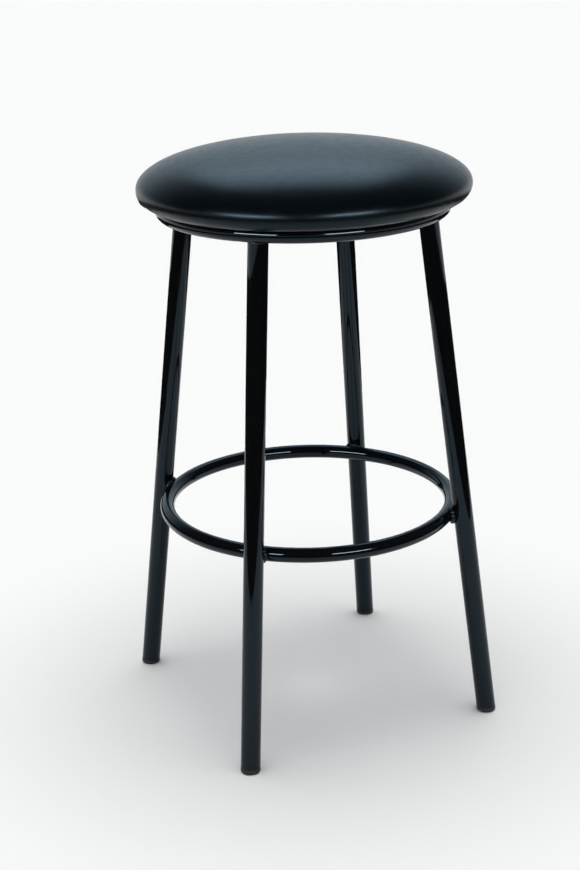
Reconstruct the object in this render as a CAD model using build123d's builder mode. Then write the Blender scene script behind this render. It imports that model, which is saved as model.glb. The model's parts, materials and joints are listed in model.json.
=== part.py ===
from build123d import *

import os
from math import cos, radians, sin, sqrt, tan

# Backless bar stool: a round upholstered seat bolted to a welded frame of bent steel tube.
# Millimetres, floor at z = 0, +Z up. The right leg points to +X and the front leg to -Y.

# Tubes of the frame
leg_diameter = 25.4
leg_wall = 1.6
hoop_tube_diameter = 19.05
foot_ring_tube_diameter = 19.05

# Layout of the frame
frame_height = 690.9
leg_splay = 7.07
leg_top_inset = 14.5
hoop_inset = 32.75
foot_ring_height = 278.5
leg_angles = {"right": 0, "back": 90, "left": 180, "front": 270}

# Cushion outline: a curve from the widest line up to the crown, a round tuck below it
# A fullness of 0.5523 makes the curve a quarter of an ellipse
seat_diameter = 424.5
crown_height = 53.3
crown_fullness = 0.5523
tuck_radius = 17.8

# Layers of the seat
cover_thickness = 1.0
cover_edge_inset = 14.0
board_thickness = 12.0
board_setback = 3.5
dust_cover_thickness = 0.6
dust_cover_inset = 7.0

# Lugs that carry the seat, one between each two legs
lug_width = 26.0
lug_thickness = 3.0
lug_clearance = 0.4
half_leg_step = 360 / len(leg_angles) / 2
lug_angles = {
    "back_right": leg_angles["right"] + half_leg_step,
    "back_left": leg_angles["back"] + half_leg_step,
    "front_left": leg_angles["left"] + half_leg_step,
    "front_right": leg_angles["front"] + half_leg_step,
}

# Seat fasteners
bolt_inset = 24.0
bolt_diameter = 6.0
bolt_head_flats = 10.0
bolt_head_height = 4.0
bolt_hole_clearance = 0.4
bolt_tip_gap = 2.6
thread_clearance = 0.05
washer_diameter = 14.0
washer_thickness = 1.6
tee_nut_barrel_diameter = 7.8
tee_nut_flange_diameter = 17.0
tee_nut_flange_thickness = 1.4
tee_nut_fit = 0.1
tee_nut_recess = 1.6

# Plastic glides pressed into the open leg ends
glide_thickness = 6.0
glide_edge_radius = 2.5
glide_joint_bevel = 0.5
glide_fit = 0.1
plug_length = 24.0
plug_wall = 2.0
fin_count = 4
fin_depth = 1.2
fin_thickness = 2.2
fin_lead = 1.4

# Welds
weld_root_gap = 0.3
foot_ring_weld_radius = 11.0
leg_top_bead = 2.5
lug_bead_radius = 2.8
lug_bead_end_gap = 2.0

# Levels and radii that follow from the driving sizes
seat_radius = seat_diameter / 2
widest_z = frame_height + tuck_radius
top_z = widest_z + crown_height
flat_radius = seat_radius - tuck_radius
foam_radius = seat_radius - cover_thickness
foam_crown = crown_height - cover_thickness
hoop_radius = seat_radius - hoop_inset
hoop_tube_radius = hoop_tube_diameter / 2
hoop_z = frame_height - hoop_tube_radius
board_bottom_z = frame_height + cover_thickness
board_top_z = board_bottom_z + board_thickness
board_radius = flat_radius - board_setback
cover_edge_radius = hoop_radius - cover_edge_inset
dust_cover_radius = hoop_radius - dust_cover_inset

leg_radius = leg_diameter / 2
leg_bore_radius = leg_radius - leg_wall
splay = radians(leg_splay)
leg_top_radius = hoop_radius - leg_top_inset
foot_circle_radius = leg_top_radius + (frame_height - hoop_tube_diameter) * tan(splay)
leg_blank_length = frame_height / cos(splay)
foot_ring_tube_radius = foot_ring_tube_diameter / 2
foot_ring_leg_radius = foot_circle_radius - foot_ring_height * tan(splay)
foot_ring_stand_off = leg_radius + foot_ring_tube_radius + weld_root_gap
foot_ring_radius = foot_ring_leg_radius - foot_ring_stand_off / cos(splay)

lug_top_z = frame_height - dust_cover_thickness - lug_clearance
lug_bottom_z = lug_top_z - lug_thickness
bolt_circle_radius = hoop_radius - bolt_inset
bolt_hole_radius = bolt_diameter / 2 + bolt_hole_clearance
bolt_seat_z = lug_bottom_z - washer_thickness
bolt_length = board_top_z - bolt_tip_gap - bolt_seat_z
barrel_length = board_thickness - tee_nut_flange_thickness - tee_nut_recess
barrel_radius = tee_nut_barrel_diameter / 2
flange_radius = tee_nut_flange_diameter / 2
hoop_side_z = hoop_z - lug_bottom_z
lug_root_radius = hoop_radius - sqrt(hoop_tube_radius**2 - hoop_side_z**2)

plug_radius = leg_bore_radius - fin_depth
fin_radius = leg_bore_radius - glide_fit
fin_pitch = plug_length / fin_count
glide_drop = leg_diameter * tan(splay)
weld_radial = foot_ring_radius + foot_ring_tube_radius * cos(splay)
weld_z = foot_ring_height + foot_ring_tube_radius * sin(splay)

os.makedirs("parts", exist_ok=True)


def outward(angle):
    """Level unit vector from the stool's axis towards the given angle."""
    return Vector(cos(radians(angle)), sin(radians(angle)), 0)


def leg_axis(angle):
    """Unit vector up along a leg, leaning in towards the stool's axis."""
    return outward(angle) * -sin(splay) + Vector(0, 0, cos(splay))


def leg_plane(angle):
    """Plane square to a leg where its axis meets the floor."""
    foot = outward(angle) * foot_circle_radius
    return Plane(origin=foot, x_dir=outward(angle + 90), z_dir=leg_axis(angle))


def leg_section_plane(angle):
    """Upright plane through a leg's axis: x points out from the axis, y runs up along it."""
    across = outward(angle) * cos(splay) + Vector(0, 0, sin(splay))
    foot = outward(angle) * foot_circle_radius
    return Plane(origin=foot, x_dir=across, z_dir=across.cross(leg_axis(angle)))


def crown_points(radius, height):
    """Control points of the crown's curve, upright at the widest line and level at the top."""
    side = (radius, widest_z)
    side_pull = (radius, widest_z + height * crown_fullness)
    top_pull = (radius * crown_fullness, widest_z + height)
    top = (0, widest_z + height)
    return side, side_pull, top_pull, top


bolt_places = [outward(angle) * bolt_circle_radius for angle in lug_angles.values()]

# Vinyl cover: one skin over the crown and sides, turned in flat under the board
with BuildPart() as seat_cover:
    with BuildSketch(Plane.XZ):
        with BuildLine():
            Line((cover_edge_radius, frame_height), (flat_radius, frame_height))
            CenterArc((flat_radius, widest_z), tuck_radius, 270, 90)
            Bezier(*crown_points(seat_radius, crown_height))
            Line((0, top_z), (0, top_z - cover_thickness))
            Bezier(*crown_points(foam_radius, foam_crown))
            CenterArc((flat_radius, widest_z), tuck_radius - cover_thickness, 270, 90)
            Line((flat_radius, board_bottom_z), (cover_edge_radius, board_bottom_z))
            Line((cover_edge_radius, board_bottom_z), (cover_edge_radius, frame_height))
        make_face()
    revolve(axis=Axis.Z)
    with BuildSketch(Plane.XY.offset(frame_height)):
        with Locations(bolt_places):
            Circle(bolt_hole_radius)
    extrude(amount=cover_thickness, mode=Mode.SUBTRACT)
seat_cover.part.label = "seat_cover"
export_step(seat_cover.part, "parts/seat_cover.step")

# Foam: fills the cover above the board and rolls down over the board's edge
with BuildPart() as seat_foam:
    with BuildSketch(Plane.XZ):
        with BuildLine():
            Line((0, board_top_z), (board_radius, board_top_z))
            Line((board_radius, board_top_z), (board_radius, board_bottom_z))
            Line((board_radius, board_bottom_z), (flat_radius, board_bottom_z))
            CenterArc((flat_radius, widest_z), tuck_radius - cover_thickness, 270, 90)
            Bezier(*crown_points(foam_radius, foam_crown))
            Line((0, widest_z + foam_crown), (0, board_top_z))
        make_face()
    revolve(axis=Axis.Z)
seat_foam.part.label = "seat_foam"
export_step(seat_foam.part, "parts/seat_foam.step")

# Plywood board with a stepped hole for each tee nut
with BuildPart() as seat_board:
    with BuildSketch(Plane.XY.offset(board_bottom_z)):
        Circle(board_radius)
    extrude(amount=board_thickness)
    with BuildSketch(Plane.XY.offset(board_bottom_z)):
        with Locations(bolt_places):
            Circle(barrel_radius + tee_nut_fit)
    extrude(amount=board_thickness, mode=Mode.SUBTRACT)
    with BuildSketch(Plane.XY.offset(board_top_z)):
        with Locations(bolt_places):
            Circle(flange_radius + tee_nut_fit)
    extrude(amount=-tee_nut_flange_thickness, mode=Mode.SUBTRACT)
seat_board.part.label = "seat_board"
export_step(seat_board.part, "parts/seat_board.step")

# Tee nuts: flange let into the board's top, threaded barrel below it
with BuildPart() as tee_nuts:
    with BuildSketch(Plane.XY.offset(board_top_z)):
        with Locations(bolt_places):
            Circle(flange_radius)
    extrude(amount=-tee_nut_flange_thickness)
    with BuildSketch(Plane.XY.offset(board_top_z - tee_nut_flange_thickness)):
        with Locations(bolt_places):
            Circle(barrel_radius)
    extrude(amount=-barrel_length)
    with BuildSketch(Plane.XY.offset(board_top_z)):
        with Locations(bolt_places):
            Circle(bolt_diameter / 2 + thread_clearance)
    extrude(amount=-board_thickness, mode=Mode.SUBTRACT)
tee_nuts.part.label = "tee_nuts"
export_step(tee_nuts.part, "parts/tee_nuts.step")

# Dust cover: thin cloth disc inside the hoop, lapped over the raw edge of the vinyl
with BuildPart() as dust_cover:
    with BuildSketch(Plane.XY.offset(frame_height)):
        Circle(dust_cover_radius)
        with Locations(bolt_places):
            Circle(bolt_hole_radius, mode=Mode.SUBTRACT)
    extrude(amount=-dust_cover_thickness)
dust_cover.part.label = "dust_cover"
export_step(dust_cover.part, "parts/dust_cover.step")

# Seat hoop: closed ring of tube that the cushion rests on
with BuildPart() as seat_hoop:
    with Locations((0, 0, hoop_z)):
        Torus(hoop_radius, hoop_tube_radius)
seat_hoop.part.label = "seat_hoop"
export_step(seat_hoop.part, "parts/seat_hoop.step")

# Lugs: flat tabs with a round nose, their outer ends coped to the hoop
for lug_name, lug_angle in lug_angles.items():
    with BuildPart() as lug:
        lug_base = Plane(origin=(0, 0, lug_bottom_z), x_dir=outward(lug_angle), z_dir=(0, 0, 1))
        with BuildSketch(lug_base):
            with Locations((bolt_circle_radius + bolt_inset / 2, 0)):
                Rectangle(bolt_inset, lug_width)
            with Locations((bolt_circle_radius, 0)):
                Circle(lug_width / 2)
                Circle(bolt_hole_radius, mode=Mode.SUBTRACT)
        extrude(amount=lug_thickness)
        with Locations((0, 0, hoop_z)):
            Torus(hoop_radius, hoop_tube_radius, mode=Mode.SUBTRACT)
    lug.part.label = f"{lug_name}_lug"
    export_step(lug.part, f"parts/{lug_name}_lug.step")

# Lug welds: one bead in the corner below each lug
with BuildPart() as lug_welds:
    for lug_angle in lug_angles.values():
        corner = outward(lug_angle) * lug_root_radius + Vector(0, 0, lug_bottom_z)
        with BuildSketch(Plane(origin=corner, x_dir=(0, 0, 1), z_dir=outward(lug_angle + 90))):
            Circle(lug_bead_radius)
    extrude(amount=lug_width / 2 - lug_bead_end_gap, both=True)
    split(bisect_by=Plane.XY.offset(lug_bottom_z), keep=Keep.BOTTOM)
    with Locations((0, 0, hoop_z)):
        Torus(hoop_radius, hoop_tube_radius, mode=Mode.SUBTRACT)
lug_welds.part.label = "lug_welds"
export_step(lug_welds.part, "parts/lug_welds.step")

# Washers and hex bolts, up through the lugs into the tee nuts
with BuildPart() as seat_washers:
    with BuildSketch(Plane.XY.offset(lug_bottom_z)):
        with Locations(bolt_places):
            Circle(washer_diameter / 2)
            Circle(bolt_hole_radius, mode=Mode.SUBTRACT)
    extrude(amount=-washer_thickness)
seat_washers.part.label = "seat_washers"
export_step(seat_washers.part, "parts/seat_washers.step")

with BuildPart() as seat_bolts:
    with BuildSketch(Plane.XY.offset(bolt_seat_z)):
        with Locations(bolt_places):
            RegularPolygon(bolt_head_flats / 2, 6, major_radius=False)
    extrude(amount=-bolt_head_height)
    with BuildSketch(Plane.XY.offset(bolt_seat_z)):
        with Locations(bolt_places):
            Circle(bolt_diameter / 2)
    extrude(amount=bolt_length)
seat_bolts.part.label = "seat_bolts"
export_step(seat_bolts.part, "parts/seat_bolts.step")

# Legs: straight tubes cut square at the foot and coped round the hoop at the top
for leg_name, leg_angle in leg_angles.items():
    with BuildPart() as leg:
        with BuildSketch(leg_plane(leg_angle).offset(glide_thickness)):
            Circle(leg_radius)
            Circle(leg_bore_radius, mode=Mode.SUBTRACT)
        extrude(amount=leg_blank_length)
        split(bisect_by=Plane.XY.offset(hoop_z), keep=Keep.BOTTOM)
        with Locations((0, 0, hoop_z)):
            Torus(hoop_radius, hoop_tube_radius, mode=Mode.SUBTRACT)
    leg.part.label = f"{leg_name}_leg"
    export_step(leg.part, f"parts/{leg_name}_leg.step")

# Leg top welds: a bead in the corner between each leg and the hoop
with BuildPart() as leg_top_welds:
    for leg_angle in leg_angles.values():
        with BuildSketch(leg_plane(leg_angle)):
            Circle(leg_radius + leg_top_bead)
    extrude(amount=leg_blank_length)
    split(bisect_by=Plane.XY.offset(hoop_z), keep=Keep.BOTTOM)
    with Locations((0, 0, hoop_z)):
        Torus(hoop_radius, hoop_tube_radius + leg_top_bead, mode=Mode.INTERSECT)
        Torus(hoop_radius, hoop_tube_radius, mode=Mode.SUBTRACT)
    for leg_angle in leg_angles.values():
        with BuildSketch(leg_plane(leg_angle)):
            Circle(leg_radius)
    extrude(amount=leg_blank_length, mode=Mode.SUBTRACT)
leg_top_welds.part.label = "leg_top_welds"
export_step(leg_top_welds.part, "parts/leg_top_welds.step")

# Foot ring: closed ring of tube inside the legs, a root gap away from each
with BuildPart() as foot_ring:
    with Locations((0, 0, foot_ring_height)):
        Torus(foot_ring_radius, foot_ring_tube_radius)
foot_ring.part.label = "foot_ring"
export_step(foot_ring.part, "parts/foot_ring.step")

# Foot ring welds: a round bead that fills the wedge between the ring and each leg
with BuildPart() as foot_ring_welds:
    for leg_angle in leg_angles.values():
        with Locations(outward(leg_angle) * weld_radial + Vector(0, 0, weld_z)):
            Sphere(foot_ring_weld_radius)
    with Locations((0, 0, foot_ring_height)):
        Torus(foot_ring_radius, foot_ring_tube_radius, mode=Mode.SUBTRACT)
    for leg_angle in leg_angles.values():
        with BuildSketch(leg_plane(leg_angle)):
            Circle(leg_radius)
    extrude(amount=leg_blank_length, mode=Mode.SUBTRACT)
foot_ring_welds.part.label = "foot_ring_welds"
export_step(foot_ring_welds.part, "parts/foot_ring_welds.step")

# Glides: a cap as wide as the tube, level at the floor, on a hollow finned plug
for leg_name, leg_angle in leg_angles.items():
    with BuildPart() as glide:
        section = leg_section_plane(leg_angle)
        turning_axis = Axis(section.origin, leg_axis(leg_angle))
        plug_top = glide_thickness + plug_length
        with BuildSketch(section):
            with BuildLine():
                Polyline(
                    (0, -glide_drop),
                    (leg_radius, -glide_drop),
                    (leg_radius, glide_thickness - glide_joint_bevel),
                    (leg_radius - glide_joint_bevel, glide_thickness),
                    (plug_radius, glide_thickness),
                    (plug_radius, plug_top),
                    (plug_radius - plug_wall, plug_top),
                    (plug_radius - plug_wall, glide_thickness),
                    (0, glide_thickness),
                    close=True,
                )
            make_face()
        revolve(axis=turning_axis)
        for fin in range(fin_count):
            fin_top = glide_thickness + (fin + 1) * fin_pitch
            with BuildSketch(section):
                with BuildLine():
                    Polyline(
                        (plug_radius - plug_wall / 2, fin_top),
                        (plug_radius - plug_wall / 2, fin_top - fin_thickness),
                        (fin_radius, fin_top - fin_thickness),
                        (fin_radius, fin_top - fin_lead),
                        (plug_radius, fin_top),
                        close=True,
                    )
                make_face()
        revolve(axis=turning_axis)
        split(bisect_by=Plane.XY, keep=Keep.TOP)
        fillet(glide.edges().group_by(Axis.Z)[0], glide_edge_radius)
    glide.part.label = f"{leg_name}_glide"
    export_step(glide.part, f"parts/{leg_name}_glide.step")
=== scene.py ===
"""Backless bar stool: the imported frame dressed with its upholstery, welds, fasteners and finishes."""

import json
from math import cos, pi, radians, sin, sqrt, tan

import bmesh
import bpy
import numpy as np
from bpy.props import FloatProperty, FloatVectorProperty, IntProperty, PointerProperty
from mathutils import Matrix, Vector


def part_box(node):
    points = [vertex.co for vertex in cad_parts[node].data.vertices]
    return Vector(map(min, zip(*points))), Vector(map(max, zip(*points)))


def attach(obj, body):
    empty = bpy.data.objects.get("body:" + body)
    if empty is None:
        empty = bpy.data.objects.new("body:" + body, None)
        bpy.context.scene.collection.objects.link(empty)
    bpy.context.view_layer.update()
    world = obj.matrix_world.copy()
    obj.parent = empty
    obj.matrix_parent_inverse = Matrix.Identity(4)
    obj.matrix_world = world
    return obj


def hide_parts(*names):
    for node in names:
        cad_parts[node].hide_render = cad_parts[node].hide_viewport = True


bl_info = {
    "name": "Bar Stool",
    "version": (1, 0, 0),
    "blender": (4, 5, 0),
    "location": "3D View > Sidebar > Stool",
    "description": "Dresses the frame of a backless bar stool with upholstery, welds and finishes",
    "category": "Object",
}

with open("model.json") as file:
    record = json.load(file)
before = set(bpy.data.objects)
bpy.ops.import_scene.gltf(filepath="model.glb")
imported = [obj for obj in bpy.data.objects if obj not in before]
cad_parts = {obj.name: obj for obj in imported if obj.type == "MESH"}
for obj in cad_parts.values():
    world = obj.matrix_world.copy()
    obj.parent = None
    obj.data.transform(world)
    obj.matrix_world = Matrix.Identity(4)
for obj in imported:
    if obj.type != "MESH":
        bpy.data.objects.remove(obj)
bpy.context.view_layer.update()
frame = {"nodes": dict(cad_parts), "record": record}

MM = 0.001
ROOT = "root"
LEG_NAMES = ("right", "back", "left", "front")
LUG_NAMES = ("back_right", "back_left", "front_left", "front_right")
LEG_ANGLES = [radians(angle) for angle in (0, 90, 180, 270)]
LUG_ANGLES = [radians(angle) for angle in (45, 135, 225, 315)]
LEG_SPLAY = radians(7.07)

# Sizes read from the frame, in metres
COVER_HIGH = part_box("seat_cover")[1]
BOARD_LOW, BOARD_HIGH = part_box("seat_board")
CLOTH_LOW, CLOTH_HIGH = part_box("dust_cover")
HOOP_LOW, HOOP_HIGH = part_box("seat_hoop")
RING_LOW, RING_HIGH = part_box("foot_ring")
LUG_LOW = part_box("back_right_lug")[0]
WASHER_LOW, WASHER_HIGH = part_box("seat_washers")
BOLT_LOW, BOLT_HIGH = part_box("seat_bolts")
LEG_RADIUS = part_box("right_leg")[1].y
HOOP_TUBE = (HOOP_HIGH.z - HOOP_LOW.z) / 2
HOOP_RADIUS = HOOP_HIGH.x - HOOP_TUBE
HOOP_Z = (HOOP_HIGH.z + HOOP_LOW.z) / 2
RING_TUBE = (RING_HIGH.z - RING_LOW.z) / 2
RING_RADIUS = RING_HIGH.x - RING_TUBE
RING_Z = (RING_HIGH.z + RING_LOW.z) / 2
FOOT_RADIUS = next(m["pos_m"][0] for m in frame["record"]["mounts"] if m["name"] == "right_foot")
BOLT_HEAD_HEIGHT = WASHER_LOW.z - BOLT_LOW.z

# Sizes that the frame's boxes do not tell, in metres
COVER_TURN_UNDER = 14 * MM
COVER_EDGE_RADIUS = HOOP_RADIUS - COVER_TURN_UNDER
POCKET_CLEARANCE = 0.2 * MM
WASHER_RADIUS = 7 * MM
WASHER_CLEARANCE = 0.2 * MM
WASHER_BREAK = 0.25 * MM
BOLT_RADIUS = 3 * MM
BOLT_HEAD_FLATS = 10 * MM
BOLT_CIRCLE = (WASHER_HIGH.x - WASHER_RADIUS) * sqrt(2)
LUG_WIDTH = 26 * MM
LUG_BEAD_END_GAP = 2 * MM
LUG_BEAD_SETBACK = 0.8 * MM
# Radius of the flat end of a bolt's head as a share of its width, and the slope of the chamfer round it
BOLT_FACE_SHARE = 0.48
BOLT_CHAMFER = radians(30)
FASTENER_SIDES = 72

# Rings of points that the cushion's surface is made of
CROWN_RINGS = 48
TUCK_RINGS = 12
TURNED_RINGS = 6
# Fineness of the crown's line, and how much its turning counts beside its length in the spacing of the rings
CROWN_SAMPLES = 4001
TURN_WEIGHT = 0.25
# Rings below the tuck over which the uneven stuffing fades, and radii of the pocket's last rings as shares
LOOSE_RINGS = 2
POCKET_SHARES = (0.7, 0.3)
# Swelling: its frames, the passes that smooth what is uneven in it, the share of the tuck over which the
# cover comes to be held, and the cloth's settings
SWELL_FRAMES = 20
SMOOTHING_PASSES = 30
HELD_SHARE = 0.7
COVER_CLOTH = {
    "quality": 5,
    "mass": 0.3,
    "tension_stiffness": 25,
    "compression_stiffness": 25,
    "shear_stiffness": 10,
    "bending_stiffness": 3,
    "use_pressure": True,
    "uniform_pressure_force": 4,
}
# Uneven gathers: how far they stray, how deep and wide they are, and what is left under the board, as shares
GATHER_STRAY = 0.35
GATHER_DEPTHS = (0.2, 1.0)
GATHER_WIDTHS = (0.8, 1.5)
GATHER_UNDER = 0.6
# Places and heights of the loose folds at the lower left, in degrees about the axis and as shares
FOLD_ANGLES = np.array([201.0, 207.5, 213.0])
FOLD_HEIGHTS = np.array([1.0, 0.55, 0.7])
# Directions in which the cushion leans, hangs lower and is fuller than its true round
LEAN_ANGLE = radians(20)
SAG_ANGLE = radians(262)
FULL_ANGLE = radians(20)

# Dust cloth: rings and sectors of its mesh, and the radius inside which it hangs free
CLOTH_RINGS = 44
CLOTH_SECTORS = 216
CLOTH_FREE_RADIUS = 134 * MM
# Its uneven waves: their counts round the cloth, the range of their sizes, and how much they sway the hanging
CLOTH_WAVES = (3, 5, 8, 13, 21)
CLOTH_WAVE_SIZES = (0.4, 1.0)
CLOTH_SWAY = 0.12
# Pucker inside the staples, and the share of it that goes evenly round
CLOTH_PUCKER = 0.3 * MM
CLOTH_PUCKER_EVEN = 0.6
# Staples: thickness as a share of the wire's width, legs, bends, distance from the cloth's edge, largest turn
STAPLE_FLATNESS = 0.45
STAPLE_LEG = 3 * MM
STAPLE_BEND = 0.8 * MM
STAPLE_BEND_STEPS = 4
STAPLE_INSET = 6 * MM
STAPLE_TURN = radians(9)

# The right leg: its directions upwards, outwards and sideways, and the middle of its foot
LEG_LINE = Vector((-sin(LEG_SPLAY), 0, cos(LEG_SPLAY)))
LEG_OUT = Vector((cos(LEG_SPLAY), 0, sin(LEG_SPLAY)))
LEG_SIDE = Vector((0, 1, 0))
LEG_FOOT = Vector((FOOT_RADIUS, 0, 0))
# Distance of a bead's middle from the tubes that it joins, as a share of its radius
BEAD_LIFT = 0.6
# Sides of a bead's section, stations on each ripple, height of the ripples and size of a free end as shares
BEAD_SIDES = 14
RIPPLE_STATIONS = 6
RIPPLE_SHARE = 0.05
BEAD_END_SIZE = 0.45
# Range over which the surface of a bead strays
BEAD_UNEVENNESS = 0.6 * MM
# Product of the shares of the path to its two ends at which a bead has its full size
BEAD_TAPER = 0.12
# Points on a ring bead's path and on half of the others, and the fewest that a path may have
RING_BEAD_STEPS = 72
LEG_BEAD_STEPS = 24
LUG_BEAD_STEPS = 8
FEWEST_BEAD_POINTS = 8
# Half of the arc that a bead runs round the top of a leg
LEG_BEAD_ARC = radians(55)
# How full the foot ring's beads are on the two sides of the right, back, left and front legs
RING_BEAD_FULLNESS = ((1.0, 0.45), (0.8, 0.8), (0.4, 0.9), (0.4, 0.95))
# Search for where tubes meet: halvings, an angle past any leg's side, and the reach and steps along a leg
HALVINGS = 50
PAST_LEG = 0.2
SEARCH_BELOW_HOOP = 20 * MM
SEARCH_ABOVE_MIDDLE = 10 * MM
SEARCH_STEPS = 61

# The camera's place and aim in the frame's own axes, and its lens on a 36 mm sensor
CAMERA_PLACE = Vector((0.71081, -2.03318, 1.12376))
CAMERA_YAW = radians(19.9034)
CAMERA_PITCH = radians(19.2682)
CAMERA_ROLL = radians(-1.402)
CAMERA_LENS = 70.803
CAMERA_RANGE = 100

# Panels that show only as highlights: degrees from the front towards the right and up from the hoop's top,
# then distance, width and height in metres, power and tint
PANELS = (
    ("left_panel", -17, 16, 3.2, 1.8, 0.4, 68, (1.0, 0.98, 0.96)),
    ("right_panel", 50, 16, 3.2, 1.6, 0.4, 60, (1.0, 0.98, 0.96)),
    ("rear_panel", 201, 43, 2.6, 1.5, 1.15, 10.5, (0.62, 0.85, 1.0)),
)
# Wide soft light from above, and the point that the lamps are aimed at
SUN_PLACE = Vector((0, 0, 4))
SUN_STRENGTH = 2.85
SUN_SPREAD = radians(60)
SUN_TINT = (1.0, 0.98, 0.95)
LAMP_AIM = Vector((0, 0, 0.5))
# Round floor, in metres, and the number of sides of what is round in the studio
FLOOR_REACH = 40.0
FLOOR_DROP = 0.2 * MM
STAGE_SIDES = 128
# Low screen round the stool, in metres: the paper that the gloss shows ends there
SCREEN_REACH = 1.4
SCREEN_HIGH = 0.68
SCREEN_LOW = 0.3
# Flag that keeps the front panels' light off the top of the seat: reach, lower and upper edge in metres, and
# its two ends in degrees from the front towards the right
FLAG_REACH = 0.5
FLAG_EDGES = (0.82, 0.95)
FLAG_ENDS = (-60, 95)
# The room's dim, paler and wall colours, linear
ROOM_DIM = (0.05, 0.07, 0.09)
ROOM_PALE = (0.55, 0.7, 0.8)
ROOM_WALL = (0.95, 0.95, 0.95)
# Direction of the room's paler part about the stool's axis, and the cosines from it between which it fades in
GLOW_ANGLE = radians(111)
GLOW_COSINES = (0.3, 0.95)
# Sines of the angles above the floor between which the paler part and the wall end
GLOW_SINES = (0.3, 0.75)
WALL_SINES = (0.04, 0.12)


def linear(hex_colour):
    """An sRGB hex colour as linear red, green and blue."""
    parts = [int(hex_colour[k:k + 2], 16) / 255 for k in (1, 3, 5)]
    return [c / 12.92 if c <= 0.04045 else ((c + 0.055) / 1.055) ** 2.4 for c in parts]


def per_metre(millimetres):
    """Texture scale that gives features of this size."""
    return 1 / (millimetres * MM)


def colour(name, description, hex_colour):
    """A colour that the user can change."""
    return FloatVectorProperty(
        name=name, description=description, subtype="COLOR", default=linear(hex_colour), min=0, max=1
    )


def length(name, description, millimetres):
    """A length that the user can change."""
    return FloatProperty(
        name=name, description=description, unit="LENGTH", default=millimetres * MM, min=0, precision=4
    )


class StoolSizes(bpy.types.PropertyGroup):
    """Sizes of what is added to the frame."""

    tuck_radius: length("Tuck radius", "Round below the cushion's widest line", 17.8)
    crown_slack: length("Crown slack", "How far the cover lies below its crown before the foam swells", 6)
    side_slack: length("Side slack", "How far the sides lie inside their line before the foam swells", 1.2)
    swell_limit: length("Swell limit", "Furthest that a point of the cover moves", 9)
    pleat_spacing: length("Pleat spacing", "Distance between the gathers round the tuck", 17)
    pleat_width: length("Pleat width", "Half width of a gather", 4)
    pleat_depth: length("Pleat depth", "Depth of a gather where the cover turns under", 0.5)
    fold_height: length("Fold height", "Height of the few loose folds at the lower left", 2.6)
    fold_width: length("Fold width", "Half width of such a fold", 7)
    fullness: length("Fullness", "How far the stuffed cover stands out from the cut of its pattern", 1.0)
    lean: length("Lean", "How far the cushion sits off the middle of its board", 1.7)
    edge_sag: length("Edge sag", "How far the front edge of the cushion hangs down", 2.0)
    edge_rise: length("Edge rise", "How far the fuller side of the cushion stands up", 1.5)
    cloth_sag: length("Dust cloth sag", "How far the middle of the dust cloth hangs down", 3)
    staple_spacing: length("Staple spacing", "Distance between staples round the dust cloth", 30)
    staple_width: length("Staple width", "Length of a staple's crown", 10)
    staple_wire: length("Staple wire", "Width of the flat staple wire", 1.2)
    ring_bead: length("Foot ring bead", "Largest radius of the weld bead between foot ring and leg", 4.2)
    hoop_bead: length("Leg top bead", "Radius of the weld bead between leg and hoop", 1.7)
    lug_bead: length("Lug bead", "Radius of the weld bead below each lug", 2.6)
    ripple_pitch: length("Ripple pitch", "Distance between the ripples of a weld", 2.2)
    pleat_seed: IntProperty(name="Pleat seed", description="Order of the uneven gathers", default=11)
    staple_seed: IntProperty(name="Staple seed", description="Order of the uneven staples", default=4)


class StoolColours(bpy.types.PropertyGroup):
    """Colours of the finishes."""

    vinyl: colour("Vinyl", "Upholstery vinyl", "#07090b")
    # Painted shade: the vinyl is drawn in this darker colour in the creases of its grain
    vinyl_crease_shade: colour("Vinyl crease", "Vinyl in the creases of its grain", "#040506")
    paint: colour("Paint", "Gloss paint of the frame", "#0c0d0f")
    glide: colour("Glide", "Plastic of the leg ends", "#0b0c0d")
    glide_scuff: colour("Glide scuff", "Rubbed plastic of the leg ends", "#151617")
    cloth: colour("Dust cloth", "Cloth below the seat", "#17181a")
    # Painted glints: fibres that catch the light are drawn in this lighter colour
    cloth_fibre_glint: colour("Dust cloth fibre", "Fibres that catch the light", "#2b2c2e")
    zinc: colour("Zinc", "Plated bolts, washers and staples", "#b4b8bb")
    zinc_dull: colour("Dull zinc", "Duller grains of the plating", "#8d9194")
    wood: colour("Plywood", "Pale wood of the seat board", "#cfa878")
    wood_dark: colour("Plywood grain", "Dark grain of the seat board", "#9c7245")
    floor: colour("Floor", "Studio paper", "#fafafa")
    screen: colour("Screen", "Felt of the screens that darken the gloss", "#2c2c2c")


def add_node(tree, kind, inputs=None, **settings):
    """Adds a node with its settings; an input takes a value, or a link from another node's output."""
    node = tree.nodes.new(kind)
    for name, value in settings.items():
        setattr(node, name, value)
    for key, value in (inputs or {}).items():
        socket = next(s for s in node.inputs if key in (s.identifier, s.name))
        if isinstance(value, bpy.types.NodeSocket):
            tree.links.new(value, socket)
        else:
            socket.default_value = value
    return node


def new_material(name):
    """An empty material with its tree, its shader and the piece's own coordinates."""
    material = bpy.data.materials.new(name)
    material.use_nodes = True
    tree = material.node_tree
    place = add_node(tree, "ShaderNodeTexCoord").outputs["Object"]
    return material, tree, tree.nodes["Principled BSDF"], place


def finish_shader(tree, shader, links, values):
    """Links what varies over the surface to the shader, and sets what is even all over on its own sockets."""
    for name, output in links.items():
        tree.links.new(output, shader.inputs[name])
    for name, value in values.items():
        shader.inputs[name].default_value = value


def mix_colours(tree, factor, first, second):
    """Colour that goes from the first to the second with the factor; each is a colour or a node's output."""
    ends = [end if isinstance(end, bpy.types.NodeSocket) else [*end, 1] for end in (first, second)]
    inputs = {"Factor_Float": factor, "A_Color": ends[0], "B_Color": ends[1]}
    mixed = add_node(tree, "ShaderNodeMix", inputs, data_type="RGBA")
    return next(s for s in mixed.outputs if s.identifier == "Result_Color")


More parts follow.
